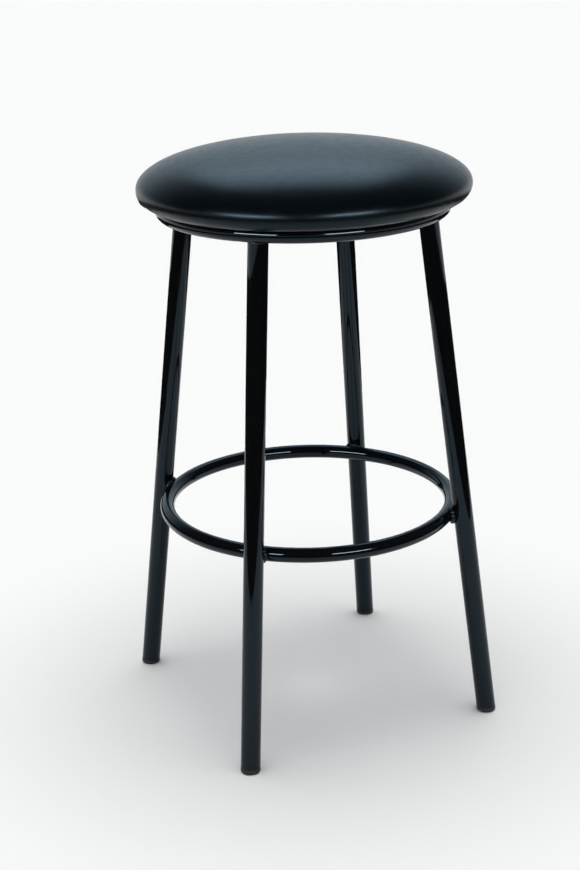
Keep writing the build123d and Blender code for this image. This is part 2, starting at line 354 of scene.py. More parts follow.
def spread(tree, value, low, high, first, second):
    """Value carried from the range low to high over to the range first to second, softly at both ends."""
    inputs = {"Value": value, "From Min": low, "From Max": high, "To Min": first, "To Max": second}
    return add_node(tree, "ShaderNodeMapRange", inputs, interpolation_type="SMOOTHSTEP").outputs["Result"]


def calculate(tree, operation, *values):
    """Result of a Math node; each value is a number or another node's output."""
    inputs = dict(zip(("Value", "Value_001", "Value_002"), values))
    return add_node(tree, "ShaderNodeMath", inputs, operation=operation).outputs["Value"]


def noise(tree, place, millimetres, detail, **more):
    """Outputs of a noise with features of this size."""
    inputs = {"Vector": place, "Scale": per_metre(millimetres), "Detail": detail, **more}
    return add_node(tree, "ShaderNodeTexNoise", inputs).outputs


def relief(tree, height, strength, millimetres):
    """Normal of a surface with this relief, its depth in millimetres."""
    inputs = {"Height": height, "Strength": strength, "Distance": millimetres * MM}
    return add_node(tree, "ShaderNodeBump", inputs).outputs["Normal"]


def upholstery_vinyl(colours):
    """Expanded vinyl on a knitted back with a rolled hide grain: near black, satin, greyer at a low angle."""
    material, tree, shader, place = new_material("upholstery_vinyl")
    # The real grain is about 1 mm, too fine to show, so its pebbles are drawn 2.4 mm wide
    stray = noise(tree, place, 6, 2.0)["Color"]
    drift = {"Vector": stray, "Vector_001": [1.6 * MM] * 3, "Vector_002": place}
    bent = add_node(tree, "ShaderNodeVectorMath", drift, operation="MULTIPLY_ADD").outputs["Vector"]
    cells = {"Vector": bent, "Scale": per_metre(2.4)}
    pebbles = add_node(tree, "ShaderNodeTexVoronoi", cells, feature="DISTANCE_TO_EDGE").outputs["Distance"]
    crease = spread(tree, pebbles, 0.0, 0.3, 0.0, 1.0)
    lumps = noise(tree, place, 9, 1.5)["Fac"]
    height = calculate(tree, "MULTIPLY_ADD", crease, 0.3, lumps)
    links = {
        # Base colour is darker in the grain's creases, as painted shade
        "Base Color": mix_colours(tree, crease, colours.vinyl_crease_shade, colours.vinyl),
        "Roughness": spread(tree, lumps, 0.3, 0.7, 0.28, 0.33),
        "Normal": relief(tree, height, 0.35, 0.2),
    }
    finish_shader(tree, shader, links, {"IOR": 1.33, "Specular Tint": [0.52, 0.8, 1.0, 1.0]})
    return material


def gloss_paint(colours):
    """Black enamel stoved on steel tube: a deep gloss with a faint orange peel and a few duller patches."""
    material, tree, shader, place = new_material("gloss_paint_on_steel")
    peel = noise(tree, place, 4, 1.0)["Fac"]
    handled = noise(tree, place, 60, 4.0)["Fac"]
    links = {
        "Roughness": spread(tree, handled, 0.4, 0.75, 0.04, 0.1),
        "Normal": relief(tree, peel, 0.05, 0.1),
    }
    values = {"Base Color": [*colours.paint, 1], "IOR": 1.38, "Specular Tint": [0.58, 0.82, 1.0, 1.0]}
    finish_shader(tree, shader, links, values)
    return material


def moulded_polyethylene(colours):
    """Moulded black polyethylene: a dull waxy skin with a fine eroded texture and paler rubbed patches."""
    material, tree, shader, place = new_material("moulded_polyethylene")
    grit = noise(tree, place, 0.7, 2.0)["Fac"]
    scuffs = noise(tree, place, 9, 5.0)["Fac"]
    rubbed = spread(tree, scuffs, 0.5, 0.8, 0.0, 1.0)
    links = {
        "Base Color": mix_colours(tree, rubbed, colours.glide, colours.glide_scuff),
        "Roughness": spread(tree, scuffs, 0.35, 0.7, 0.38, 0.55),
        "Normal": relief(tree, grit, 0.2, 0.05),
    }
    finish_shader(tree, shader, links, {"IOR": 1.5})
    return material


def spunbond_cloth(colours):
    """Spun-bonded dust cloth: a thin matt felt of black fibres, pinched in a fine grid of bond points."""
    material, tree, shader, place = new_material("spunbond_dust_cloth")
    fibres = noise(tree, place, 1.2, 6.0)["Fac"]
    cells = {"Vector": place, "Scale": per_metre(1.8), "Randomness": 0.15}
    bonds = add_node(tree, "ShaderNodeTexVoronoi", cells, feature="F1").outputs["Distance"]
    pinch = spread(tree, bonds, 0.1, 0.45, 0.0, 1.0)
    height = calculate(tree, "MULTIPLY_ADD", fibres, 0.8, pinch)
    # Scattered fibres are drawn lighter, as painted glints of fibres catching the light
    fibre_glints = spread(tree, fibres, 0.45, 0.7, 0.0, 1.0)
    links = {
        "Base Color": mix_colours(tree, fibre_glints, colours.cloth, colours.cloth_fibre_glint),
        "Normal": relief(tree, height, 0.5, 0.15),
    }
    finish_shader(tree, shader, links, {"Roughness": 0.9, "Sheen Weight": 0.25, "Sheen Roughness": 0.5})
    return material


def zinc_plate(colours):
    """Bright zinc plating on steel: a grey metal with soft patchy grains and fine scratches."""
    material, tree, shader, place = new_material("zinc_plated_steel")
    grains = add_node(tree, "ShaderNodeTexVoronoi", {"Vector": place, "Scale": per_metre(1.5)})
    drawn = add_node(tree, "ShaderNodeMapping", {"Vector": place, "Scale": [1.0, 1.0, 12.0]})
    scratches = noise(tree, drawn.outputs["Vector"], 1.0, 3.0)["Fac"]
    links = {
        "Base Color": mix_colours(tree, grains.outputs["Color"], colours.zinc_dull, colours.zinc),
        "Roughness": spread(tree, scratches, 0.3, 0.7, 0.25, 0.42),
        "Normal": relief(tree, scratches, 0.15, 0.04),
    }
    finish_shader(tree, shader, links, {"Metallic": 1.0})
    return material


def birch_plywood(colours):
    """Sanded birch plywood: pale faces with long soft grain, and thin plies that band its edge."""
    material, tree, shader, place = new_material("birch_plywood")
    along = add_node(tree, "ShaderNodeMapping", {"Vector": place, "Scale": [0.08, 1.0, 1.0]})
    streaks = noise(tree, along.outputs["Vector"], 6, 5.0, Distortion=0.6)["Fac"]
    # The wave node turns by 20 radians in each unit of its scale, and a light and a dark ply make 2.7 mm
    bands = {"Vector": place, "Scale": per_metre(2.7) * 2 * pi / 20, "Distortion": 0.3}
    plies = add_node(tree, "ShaderNodeTexWave", bands, bands_direction="Z").outputs["Fac"]
    both = calculate(tree, "MULTIPLY", streaks, plies)
    links = {
        "Base Color": mix_colours(tree, both, colours.wood, colours.wood_dark),
        "Normal": relief(tree, streaks, 0.2, 0.1),
    }
    finish_shader(tree, shader, links, {"Roughness": 0.7})
    return material


# Materials that are made already, by the function that makes them
FINISHES = {}


def finish_for(maker, colours):
    """The material that a maker function gives, made once and then shared."""
    if maker not in FINISHES:
        FINISHES[maker] = maker(colours)
    return FINISHES[maker]


def dress(nodes, material):
    """Gives nodes of the frame their material."""
    for name in nodes:
        slots = frame["nodes"][name].material_slots
        if not slots:
            raise RuntimeError(f"node {name} has no material slot")
        for slot in slots:
            slot.material = material


def add_piece(name, mesh, material, replaced=()):
    """Links a finished mesh to the scene as a piece of the stool."""
    mesh.name = name
    mesh.materials.clear()
    mesh.materials.append(material)
    piece = bpy.data.objects.new(name, mesh)
    bpy.context.scene.collection.objects.link(piece)
    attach(piece, ROOT)
    if replaced:
        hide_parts(*replaced)
    return piece


def closed_mesh(name, points, faces, sharp_angle=None):
    """A mesh with its faces turned outwards and smooth, up to an angle if one is given."""
    mesh = bpy.data.meshes.new(name)
    mesh.from_pydata([tuple(p) for p in points], [], faces)
    shape = bmesh.new()
    shape.from_mesh(mesh)
    bmesh.ops.recalc_face_normals(shape, faces=shape.faces)
    shape.to_mesh(mesh)
    shape.free()
    mesh.shade_smooth()
    if sharp_angle is not None:
        mesh.set_sharp_from_angle(angle=sharp_angle)
    return mesh


def path_mesh(name, paths, closed, shares=None):
    """A mesh of edges only: one chain for each path of points, joined at its ends if closed.

    Each point carries a share of the full size that a bead has there, 1 if none are given.
    """
    points, edges = [], []
    for path in paths:
        first = len(points)
        points += [tuple(p) for p in path]
        chain = [(first + k, first + k + 1) for k in range(len(path) - 1)]
        edges += chain + ([(len(points) - 1, first)] if closed else [])
    mesh = bpy.data.meshes.new(name)
    mesh.from_pydata(points, edges, [])
    share = mesh.attributes.new("share", "FLOAT", "POINT")
    share.data.foreach_set("value", [1.0] * len(points) if shares is None else np.concatenate(shares))
    return mesh


def coordinates(mesh):
    """The mesh's points as an array of rows."""
    flat = np.zeros(len(mesh.vertices) * 3)
    mesh.vertices.foreach_get("co", flat)
    return flat.reshape(-1, 3)


def as_plain_mesh(holder):
    """The evaluated shape of an object as a plain mesh; the object with its modifiers is removed."""
    graph = bpy.context.evaluated_depsgraph_get()
    mesh = bpy.data.meshes.new_from_object(holder.evaluated_get(graph))
    bpy.data.objects.remove(holder)
    return mesh


def grow(mesh, tree, values):
    """Runs a geometry tree on a mesh and returns what it makes as a plain mesh."""
    holder = bpy.data.objects.new(tree.name, mesh)
    bpy.context.scene.collection.objects.link(holder)
    modifier = holder.modifiers.new(tree.name, "NODES")
    modifier.node_group = tree
    for item in tree.interface.items_tree:
        if item.name in values:
            modifier[item.identifier] = values[item.name]
    return as_plain_mesh(holder)


def new_geometry_tree(name, inputs):
    """A geometry tree with a mesh going in and coming out, and more named inputs by kind of socket."""
    tree = bpy.data.node_groups.new(name, "GeometryNodeTree")
    tree.interface.new_socket("Geometry", in_out="OUTPUT", socket_type="NodeSocketGeometry")
    tree.interface.new_socket("Mesh", in_out="INPUT", socket_type="NodeSocketGeometry")
    for socket, kind in inputs.items():
        tree.interface.new_socket(socket, in_out="INPUT", socket_type=kind)
    return tree, add_node(tree, "NodeGroupInput").outputs


def end_tree(tree, geometry, finish):
    """Ends a geometry tree: instances made real, the finish set, and out."""
    real = add_node(tree, "GeometryNodeRealizeInstances", {"Geometry": geometry}).outputs["Geometry"]
    coated = add_node(tree, "GeometryNodeSetMaterial", {"Geometry": real, "Material": finish})
    add_node(tree, "NodeGroupOutput", {"Geometry": coated.outputs["Geometry"]})


def weld_bead_tree():
    """Sweeps a bead along a path of edges, swollen at each ripple of the weld pool and slightly uneven."""
    numbers = ("Bead Radius", "Ripple Pitch", "Ripple Share", "End Size", "Unevenness")
    inputs = {**{name: "NodeSocketFloat" for name in numbers}, "Finish": "NodeSocketMaterial"}
    tree, given = new_geometry_tree("weld_bead", inputs)
    path = add_node(tree, "GeometryNodeMeshToCurve", {"Mesh": given["Mesh"]}).outputs["Curve"]
    station = calculate(tree, "DIVIDE", given["Ripple Pitch"], RIPPLE_STATIONS)
    fine = add_node(tree, "GeometryNodeResampleCurve", {"Curve": path, "Length": station}, mode="LENGTH")
    along = add_node(tree, "GeometryNodeSplineParameter").outputs
    count = calculate(tree, "DIVIDE", along["Length"], given["Ripple Pitch"])
    wave = calculate(tree, "SINE", calculate(tree, "MULTIPLY", count, 2 * pi))
    rippled = calculate(tree, "MULTIPLY_ADD", wave, given["Ripple Share"], 1.0)
    # Product of the shares of the path to its two ends, 0 at either end and 0.25 half way
    rest = calculate(tree, "SUBTRACT", 1.0, along["Factor"])
    inside = calculate(tree, "MULTIPLY", along["Factor"], rest)
    taper = spread(tree, inside, 0.0, BEAD_TAPER, given["End Size"], 1.0)
    tapered = calculate(tree, "MULTIPLY", rippled, taper)
    named = add_node(tree, "GeometryNodeInputNamedAttribute", {"Name": "share"}, data_type="FLOAT")
    scale = calculate(tree, "MULTIPLY", tapered, named.outputs["Attribute"])
    section = {"Resolution": BEAD_SIDES, "Radius": given["Bead Radius"]}
    circle = add_node(tree, "GeometryNodeCurvePrimitiveCircle", section).outputs["Curve"]
    sweep = {"Curve": fine.outputs["Curve"], "Profile Curve": circle, "Scale": scale, "Fill Caps": True}
    bead = add_node(tree, "GeometryNodeCurveToMesh", sweep).outputs["Mesh"]
    lumps = add_node(tree, "ShaderNodeTexNoise", {"Scale": per_metre(5), "Detail": 1.0}).outputs["Color"]
    centred = {"Vector": lumps, "Vector_001": [0.5] * 3}
    stray = add_node(tree, "ShaderNodeVectorMath", centred, operation="SUBTRACT").outputs["Vector"]
    sized = {"Vector": stray, "Scale": given["Unevenness"]}
    offset = add_node(tree, "ShaderNodeVectorMath", sized, operation="SCALE").outputs["Vector"]
    uneven = add_node(tree, "GeometryNodeSetPosition", {"Geometry": bead, "Offset": offset})
    smooth = add_node(tree, "GeometryNodeSetShadeSmooth", {"Geometry": uneven.outputs["Geometry"]})
    end_tree(tree, smooth.outputs["Geometry"], given["Finish"])
    return tree


def set_out_tree():
    """Sets one part out at each point of a mesh, its X axis outwards but for a random turn either way."""
    inputs = {
        "Part": "NodeSocketObject",
        "Turn": "NodeSocketFloat",
        "Seed": "NodeSocketInt",
        "Finish": "NodeSocketMaterial",
    }
    tree, given = new_geometry_tree("set_out", inputs)
    place = add_node(tree, "GeometryNodeInputPosition").outputs["Position"]
    level = {"Vector": place, "Vector_001": [1.0, 1.0, 0.0]}
    outward = add_node(tree, "ShaderNodeVectorMath", level, operation="MULTIPLY").outputs["Vector"]
    aim = {"Vector": outward}
    facing = add_node(tree, "FunctionNodeAlignRotationToVector", aim, axis="X", pivot_axis="Z")
    lowest = calculate(tree, "MULTIPLY", given["Turn"], -1.0)
    bounds = {"Min_001": lowest, "Max_001": given["Turn"], "Seed": given["Seed"]}
    random = add_node(tree, "FunctionNodeRandomValue", bounds, data_type="FLOAT")
    angle = next(s for s in random.outputs if s.identifier == "Value_001")
    spin = add_node(tree, "FunctionNodeAxisAngleToRotation", {"Axis": [0.0, 0.0, 1.0], "Angle": angle})
    pair = {"Rotation": facing.outputs["Rotation"], "Rotate By": spin.outputs["Rotation"]}
    turned = add_node(tree, "FunctionNodeRotateRotation", pair, rotation_space="LOCAL").outputs["Rotation"]
    part = add_node(tree, "GeometryNodeObjectInfo", {"Object": given["Part"]}).outputs["Geometry"]
    laid = {"Points": given["Mesh"], "Instance": part, "Rotation": turned}
    placed = add_node(tree, "GeometryNodeInstanceOnPoints", laid).outputs["Instances"]
    end_tree(tree, placed, given["Finish"])
    return tree


def set_out(part_mesh, places, turn, seed, material):
    """One mesh with the part at each of the places."""
    part = bpy.data.objects.new("part", part_mesh)
    bpy.context.scene.collection.objects.link(part)
    spots = path_mesh("places", [[p] for p in places], closed=False)
    values = {"Part": part, "Turn": turn, "Seed": seed, "Finish": material}
    mesh = grow(spots, set_out_tree(), values)
    bpy.data.objects.remove(part)
    return mesh


def around(radius, angle, height):
    """Point at a radius and an angle about the stool's axis."""
    return Vector((radius * cos(angle), radius * sin(angle), height))


def crown_line(radius, rise):
    """Radii and heights of the crown's rings from the middle to the widest line, closer where it turns."""
    angle = np.linspace(pi / 2, 0, CROWN_SAMPLES)
    r, z = radius * np.cos(angle), rise * np.sin(angle)
    lean = np.arctan2(radius * np.sin(angle), rise * np.cos(angle))
    travel = np.hypot(np.diff(r), np.diff(z)) / radius + TURN_WEIGHT * np.abs(np.diff(lean))
    along = np.concatenate([[0], np.cumsum(travel)])
    even = np.linspace(0, along[-1], CROWN_RINGS + 1)
    return np.interp(even, along, r), np.interp(even, along, z)


def cushion_line(sizes, slack_side, slack_crown):
    """Section of the cushion from the middle of its top to the pocket's middle.

    The columns are radius, height, the surface's direction outwards and upwards, and how much of the gathers,
    of the folds and of the uneven stuffing shows there.
    """
    tuck = sizes.tuck_radius
    widest, low = COVER_HIGH.x, HOOP_HIGH.z
    edge, level = widest - tuck, low + tuck
    r, z = crown_line(widest - slack_side, COVER_HIGH.z - level - slack_crown)
    rows = [(a, level + b, 0, 0, 0, 0, 1) for a, b in zip(r, z)]
    for k in range(1, TUCK_RINGS + 1):
        turn = pi / 2 * k / TUCK_RINGS
        out, down = cos(turn), sin(turn)
        gather = down ** 2 * (1 + GATHER_UNDER - down)
        fold = 2 * out * down
        rows.append((edge + (tuck - slack_side) * out, level - tuck * down, out, -down, gather, fold, 1))
    for k in range(1, TURNED_RINGS + 1):
        inward = edge + (COVER_EDGE_RADIUS - edge) * k / TURNED_RINGS
        gather = GATHER_UNDER * (1 - k / TURNED_RINGS)
        rows.append((inward, low, 0, -1, gather, 0, max(0.0, 1 - k / LOOSE_RINGS)))
    side = BOARD_HIGH.x + POCKET_CLEARANCE
    lower, upper = BOARD_LOW.z - POCKET_CLEARANCE, BOARD_HIGH.z + POCKET_CLEARANCE
    pocket = [
        (COVER_EDGE_RADIUS, lower),
        ((COVER_EDGE_RADIUS + side) / 2, lower),
        (side, lower),
        (side, (lower + upper) / 2),
        (side, upper),
        *((side * share, upper) for share in POCKET_SHARES),
    ]
    return np.array(rows + [(a, b, 0, 0, 0, 0, 0) for a, b in pocket])


def gathers(angles, sizes):
    """Depth, as a share, of the uneven gathers round the tuck."""
    rng = np.random.default_rng(sizes.pleat_seed)
    radius = COVER_HIGH.x - sizes.tuck_radius
    count = int(2 * pi * radius / sizes.pleat_spacing)
    places = (np.arange(count) + rng.uniform(-GATHER_STRAY, GATHER_STRAY, count)) * 2 * pi / count
    depths = rng.uniform(*GATHER_DEPTHS, count)
    widths = rng.uniform(*GATHER_WIDTHS, count) * sizes.pleat_width / radius
    away = (angles[:, None] - places + pi) % (2 * pi) - pi
    return np.max(depths * np.exp(-((away / widths) ** 2)), axis=1)


def folds(angles, sizes):
    """Height, as a share, of the loose folds at the lower left."""
    radius = COVER_HIGH.x - sizes.tuck_radius
    away = angles[:, None] - np.radians(FOLD_ANGLES)
    return (FOLD_HEIGHTS * np.exp(-((away * radius / sizes.fold_width) ** 2))).sum(axis=1)


def stuffing(angles, sizes):
    """How far the cushion's edge is pushed up, and how far it hangs down, at each angle."""
    up = sizes.edge_rise * np.cos(angles - FULL_ANGLE) ** 2
    down = sizes.edge_sag * ((1 + np.cos(angles - SAG_ANGLE)) / 2) ** 2
    return up, down


def ring_sizes(line):
    """Number of points in each ring: 6k in ring k of the crown, as many below it, fewer across the pocket."""
    edge = 6 * CROWN_RINGS
    below = len(line) - 3 - CROWN_RINGS
    return [1] + [6 * k for k in range(1, CROWN_RINGS + 1)] + [edge] * below + [edge // 3, edge // 9]


def cushion_points(line, sizes):
    """Points of the cushion ring by ring, and the ring number of each."""
    points, rings = [], []
    lean = around(sizes.lean, LEAN_ANGLE, 0)
    for k, ((r, z, out, up, gather, fold, loose), count) in enumerate(zip(line, ring_sizes(line))):
        angles = 2 * pi * np.arange(count) / count
        lift = fold * sizes.fold_height * folds(angles, sizes)
        lift -= gather * sizes.pleat_depth * gathers(angles, sizes)
        radius = r + out * lift
        rim = r / COVER_HIGH.x
        rise, sag = stuffing(angles, sizes)
        height = z + up * lift + loose * (rim ** 2 * (1 + up) * rise - rim ** 6 * sag)
        x, y = radius * np.cos(angles) + loose * lean.x, radius * np.sin(angles) + loose * lean.y
        points += list(zip(x, y, height))
        rings += [k] * count
    points.append((0.0, 0.0, line[-1, 1]))
    return np.array(points), np.array(rings + [len(line)])


def cushion_faces(counts):
    """Triangles of the crown, which keep the same size out to its edge, then quads down to the pocket."""
    faces = []
    inner, start = [0], 1
    for k in range(1, CROWN_RINGS + 1):
        outer = list(range(start, start + 6 * k))
        for part in range(6):
            for step in range(k):
                a = outer[part * k + step]
                b = outer[(part * k + step + 1) % (6 * k)]
                c = inner[(part * (k - 1) + step) % len(inner)]
                faces.append((a, b, c))
                if step < k - 1:
                    faces.append((b, inner[(part * (k - 1) + step + 1) % len(inner)], c))
        inner, start = outer, start + 6 * k
    for count in counts[CROWN_RINGS + 1:]:
        outer = list(range(start, start + count))
        thin = len(inner) // count
        for step in range(count):
            after = (step + 1) % count
            before = [inner[(step * thin + k) % len(inner)] for k in range(thin + 1)]
            if thin == 1:
                faces.append((before[0], outer[step], outer[after], before[1]))
            else:
                faces.append((before[0], outer[step], before[1]))
                faces.append((before[1], outer[step], outer[after], before[2]))
                faces.append((before[2], outer[after], before[3]))
        inner, start = outer, start + count
    faces += [(inner[k], start, inner[(k + 1) % len(inner)]) for k in range(len(inner))]
    return faces


def swell(holder, rings, sizes):
    """Lets the foam press the cover out: cloth under pressure, held where it turns under the board."""
    scene = bpy.context.scene
    start = coordinates(holder.data)
    held = holder.vertex_groups.new(name="held")
    for ring in range(CROWN_RINGS, rings.max() + 1):
        weight = min(1.0, (ring - CROWN_RINGS) / (HELD_SHARE * TUCK_RINGS))
        held.add(np.flatnonzero(rings == ring).tolist(), weight, "REPLACE")
    cloth = holder.modifiers.new("swell", "CLOTH")
    for name, value in COVER_CLOTH.items():
        setattr(cloth.settings, name, value)
    cloth.settings.vertex_group_mass = held.name
    cloth.settings.effector_weights.gravity = 0
    cloth.collision_settings.use_collision = False
    cloth.point_cache.frame_start = 1
    cloth.point_cache.frame_end = SWELL_FRAMES
    for step in range(1, SWELL_FRAMES + 1):
        scene.frame_set(step)
    graph = bpy.context.evaluated_depsgraph_get()
    moved = coordinates(holder.evaluated_get(graph).data) - start
    holder.modifiers.remove(cloth)
    scene.frame_set(1)
    far = np.linalg.norm(moved, axis=1)
    return moved * np.minimum(1, sizes.swell_limit / np.maximum(far, 1e-9))[:, None]


def evened(mesh, moved, rings):
    """What is uneven in a movement: each ring's mean is taken out, and the rest is smoothed over the mesh."""
    points = coordinates(mesh)
    radius = np.maximum(np.hypot(points[:, 0], points[:, 1]), 1e-6)
    outward = points[:, :2] / radius[:, None]
    parts = np.column_stack([(moved[:, :2] * outward).sum(axis=1), moved[:, 2]])
    count = np.bincount(rings)
    for k in (0, 1):
        parts[:, k] -= (np.bincount(rings, parts[:, k]) / count)[rings]
    ends = np.zeros(len(mesh.edges) * 2, dtype=int)
    mesh.edges.foreach_get("vertices", ends)
    pairs = np.concatenate([ends.reshape(-1, 2), ends.reshape(-1, 2)[:, ::-1]])
    near = np.bincount(pairs[:, 0])
    for _ in range(SMOOTHING_PASSES):
        for k in (0, 1):
            parts[:, k] = np.bincount(pairs[:, 0], parts[pairs[:, 1], k]) / near
    return np.column_stack([outward * parts[:, :1], parts[:, 1]])


class STOOL_OT_cushion(bpy.types.Operator):
    """Makes the padded seat: vinyl drawn over foam and gathered under the board"""

    bl_idname = "stool.cushion"
    bl_label = "Cushion"
    bl_options = {"REGISTER", "UNDO"}

    def execute(self, context):
        sizes, colours = context.scene.stool_sizes, context.scene.stool_colours
        full = cushion_line(sizes, -sizes.fullness, -sizes.fullness / 2)
        slack = cushion_line(sizes, sizes.side_slack, sizes.crown_slack)
        points, rings = cushion_points(slack, sizes)
        mesh = closed_mesh("seat_cushion", points, cushion_faces(ring_sizes(full)))
        holder = bpy.data.objects.new("seat_cushion_start", mesh)
        context.scene.collection.objects.link(holder)
        shaped = cushion_points(full, sizes)[0]
        shaped += evened(mesh, swell(holder, rings, sizes), rings)
        if not np.isfinite(shaped).all():
            raise RuntimeError("the cushion's cloth did not settle")
        mesh.vertices.foreach_set("co", shaped.ravel())
        mesh.update()
        finer = holder.modifiers.new("finer", "SUBSURF")
        finer.levels = 1
        piece_mesh = as_plain_mesh(holder)
        vinyl = finish_for(upholstery_vinyl, colours)
        piece = add_piece("seat_cushion", piece_mesh, vinyl, ["seat_cover", "seat_foam"])
        return {"FINISHED"}


class STOOL_OT_board(bpy.types.Operator):
    """Finishes the plywood seat board and the tee nuts in it"""

    bl_idname = "stool.board"
    bl_label = "Seat board"
    bl_options = {"REGISTER", "UNDO"}

    def execute(self, context):
        colours = context.scene.stool_colours
        dress(["seat_board"], finish_for(birch_plywood, colours))
        dress(["tee_nuts"], finish_for(zinc_plate, colours))
        return {"FINISHED"}


def dust_cloth_mesh(sizes):
    """Thin round cloth, pulled tight at its stapled edge and hanging a little in the middle."""
    rings, sectors, radius = CLOTH_RINGS, CLOTH_SECTORS, CLOTH_HIGH.x
    angles = 2 * pi * np.arange(sectors) / sectors
    rng = np.random.default_rng(sizes.staple_seed)
    waves = [(n, rng.uniform(0, 2 * pi), rng.uniform(*CLOTH_WAVE_SIZES)) for n in CLOTH_WAVES]
    sway = sum(size * np.cos(n * angles + phase) for n, phase, size in waves) / len(waves)
    points, faces = [], []
    for level in (CLOTH_LOW.z, CLOTH_HIGH.z):
        for k in range(1, rings + 1):
            r = radius * k / rings
            slack = max(0.0, 1 - (r / CLOTH_FREE_RADIUS) ** 2)
            pucker = CLOTH_PUCKER * (r / radius) ** 2 * max(0.0, 1 - r / radius) * 4
            hang = sizes.cloth_sag * slack ** 1.5 * (1 + CLOTH_SWAY * sway)
            heights = level - hang - pucker * (CLOTH_PUCKER_EVEN + sway)
            points += list(zip(r * np.cos(angles), r * np.sin(angles), heights))
    layer = rings * sectors
    points += [(0.0, 0.0, CLOTH_LOW.z - sizes.cloth_sag), (0.0, 0.0, CLOTH_HIGH.z - sizes.cloth_sag)]
    for step in range(sectors):
        after = (step + 1) % sectors
        for side in (0, 1):
            base = side * layer
            faces.append((2 * layer + side, base + step, base + after))
            for k in range(rings - 1):
                a, b = base + k * sectors, base + (k + 1) * sectors
                faces.append((a + step, b + step, b + after, a + after))
        last = layer - sectors
        faces.append((last + step, last + after, layer + last + after, layer + last + step))
    return closed_mesh("dust_cloth", points, faces, sharp_angle=radians(60))


def staple_thickness(sizes):
    """Thickness of the flat staple wire."""
    return sizes.staple_wire * STAPLE_FLATNESS


def staple_mesh(sizes):
    """One staple, crown down: a flat wire bent square with rounded corners."""
    half, thick, leg, bend = sizes.staple_width / 2, staple_thickness(sizes), STAPLE_LEG, STAPLE_BEND
    turns = [pi / 2 * k / STAPLE_BEND_STEPS for k in range(STAPLE_BEND_STEPS + 1)]
    outer = [(half - bend + bend * sin(t), bend - bend * cos(t)) for t in turns]
    inner = [(half - bend + (bend - thick) * sin(t), bend - (bend - thick) * cos(t)) for t in turns]
    right = outer + [(half, leg), (half - thick, leg)]
    loop = right + inner[::-1] + [(-y, z) for y, z in inner] + [(thick - half, leg), (-half, leg)]
    loop += [(-y, z) for y, z in outer[::-1]]
    width, count = sizes.staple_wire / 2, len(loop)
    points = [(x, y, z) for x in (-width, width) for y, z in loop]
    faces = [tuple(range(count)), tuple(range(2 * count - 1, count - 1, -1))]
    for step in range(count):
        after = (step + 1) % count
        faces.append((step, after, count + after, count + step))
    return closed_mesh("staple", points, faces, sharp_angle=radians(40))


class STOOL_OT_dust_cloth(bpy.types.Operator):
    """Makes the dust cloth below the seat and the staples round its edge"""

    bl_idname = "stool.dust_cloth"
    bl_label = "Dust cloth and staples"
    bl_options = {"REGISTER", "UNDO"}

    def execute(self, context):
        sizes, colours = context.scene.stool_sizes, context.scene.stool_colours
        cloth = finish_for(spunbond_cloth, colours)
        piece = add_piece("dust_cloth", dust_cloth_mesh(sizes), cloth, ["dust_cover"])
        radius = CLOTH_HIGH.x - STAPLE_INSET
        clear = (LUG_WIDTH / 2 + sizes.staple_width) / radius
        count = round(2 * pi * radius / sizes.staple_spacing)
        angles = [2 * pi * k / count for k in range(count)]
        free = [a for a in angles if min(abs((a - lug + pi) % (2 * pi) - pi) for lug in LUG_ANGLES) > clear]
        level = CLOTH_LOW.z - staple_thickness(sizes)
        places = [around(radius, a, level) for a in free]
        zinc = finish_for(zinc_plate, colours)
        staples = set_out(staple_mesh(sizes), places, STAPLE_TURN, sizes.staple_seed, zinc)
        add_piece("cloth_staples", staples, zinc)
        return {"FINISHED"}


class STOOL_OT_paint(bpy.types.Operator):
    """Paints the hoop, lugs, legs and foot ring"""

    bl_idname = "stool.paint"
    bl_label = "Frame paint"
    bl_options = {"REGISTER", "UNDO"}

    def execute(self, context):
        legs = [f"{name}_leg" for name in LEG_NAMES]
        lugs = [f"{name}_lug" for name in LUG_NAMES]
        paint = finish_for(gloss_paint, context.scene.stool_colours)
        dress(["seat_hoop", "foot_ring", *legs, *lugs], paint)
        return {"FINISHED"}


def crossing(measure, inside, outside):
    """Value between the two at which the measure passes zero; it is below zero at the inside value."""
    for _ in range(HALVINGS):
        middle = (inside + outside) / 2
        if measure(middle) < 0:
            inside = middle
        else:
            outside = middle
    return (inside + outside) / 2


def turned_to(path, angle):
    """A path worked out for the right leg, turned about the stool's axis."""
    turn = Matrix.Rotation(angle, 3, "Z")
    return [turn @ point for point in path]


def foot_ring_path(bead, fullness):
    """Closed path round the contact of foot ring and right leg, and the bead's share of its size along it.

    The fullness is that of the two sides, first clockwise from the leg and then counterclockwise. The path
    stays as far from both tubes as the bead there needs to lie in their corner.
    """
    path, shares = [], []
    for k in range(RING_BEAD_STEPS):
        turn = 2 * pi * (k + 0.5) / RING_BEAD_STEPS
        share = fullness[0] + (fullness[1] - fullness[0]) * (1 + cos(turn)) / 2
        gap = BEAD_LIFT * share * bead

        def point(angle, t):
            out = RING_TUBE + gap
            return around(RING_RADIUS + out * cos(angle), t, RING_Z + out * sin(angle))

        def beyond_leg(angle, t):
            return (point(angle, t) - LEG_FOOT).cross(LEG_LINE).length - LEG_RADIUS - gap

        top = crossing(lambda a: beyond_leg(a, 0), LEG_SPLAY, pi / 2)
        bottom = crossing(lambda a: beyond_leg(a, 0), LEG_SPLAY, -pi / 2)
        angle = (top + bottom) / 2 + (top - bottom) / 2 * sin(turn)
        side = crossing(lambda t: beyond_leg(angle, t), 0, PAST_LEG)
        path.append(point(angle, side if cos(turn) > 0 else -side))
        shares.append(share)
    return path, shares


